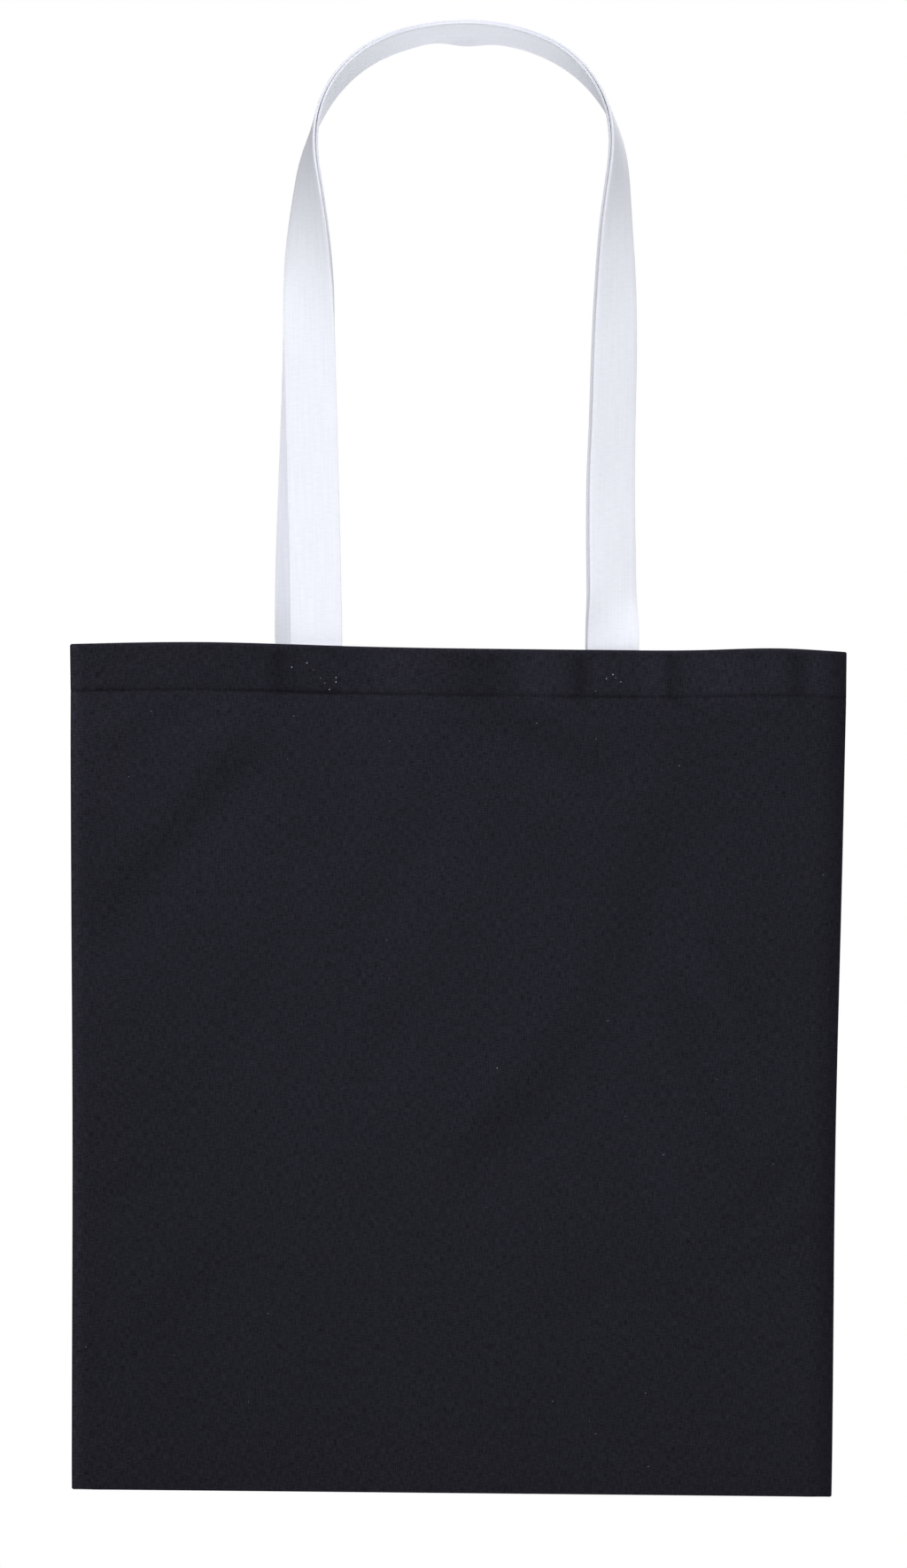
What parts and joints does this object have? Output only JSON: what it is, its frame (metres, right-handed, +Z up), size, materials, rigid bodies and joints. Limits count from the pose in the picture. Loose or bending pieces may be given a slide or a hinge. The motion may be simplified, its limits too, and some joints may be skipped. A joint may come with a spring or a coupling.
{
  "type": "tote bag",
  "caption": "Flat dark canvas tote bag with a hemmed open mouth and long white handles sewn inside the hem, hanging by its handles.",
  "frame": {"origin": "middle of the underside of the handles' top, where a hook, peg or shoulder carries the bag", "axes": "+Z up along the hanging bag, +X to the right across the mouth, -Y out of the front panel"},
  "size_m": [0.385, 0.0282, 0.7304],
  "materials": {
    "canvas": "matte",
    "strap": "matte",
    "thread": "matte"
  },
  "bodies": {
    "bag": {"front_panel": "canvas", "back_panel": "canvas", "bottom_fold": "canvas", "front_hem": "canvas", "back_hem": "canvas", "left_side_seam": "canvas", "right_side_seam": "canvas", "front_hem_stitching": "thread", "back_hem_stitching": "thread", "left_seam_stitching": "thread", "right_seam_stitching": "thread", "front_left_box_stitching": "thread", "front_right_box_stitching": "thread", "back_left_box_stitching": "thread", "back_right_box_stitching": "thread", "front_handle_left_end": "strap", "front_handle_right_end": "strap", "back_handle_left_end": "strap", "back_handle_right_end": "strap"},
    "front_handle": {"front_handle": "strap"},
    "back_handle": {"back_handle": "strap"}
  },
  "joints": [
    {"name": "front_handle_fold", "type": "hinge", "parent": "bag", "child": "front_handle", "pos_m": [0, -0.0092, -0.3045], "axis": [1, 0, 0], "range_deg": [0, 172]},
    {"name": "back_handle_fold", "type": "hinge", "parent": "bag", "child": "back_handle", "pos_m": [0, 0.0092, -0.3045], "axis": [-1, 0, 0], "range_deg": [0, 172]}
  ]
}
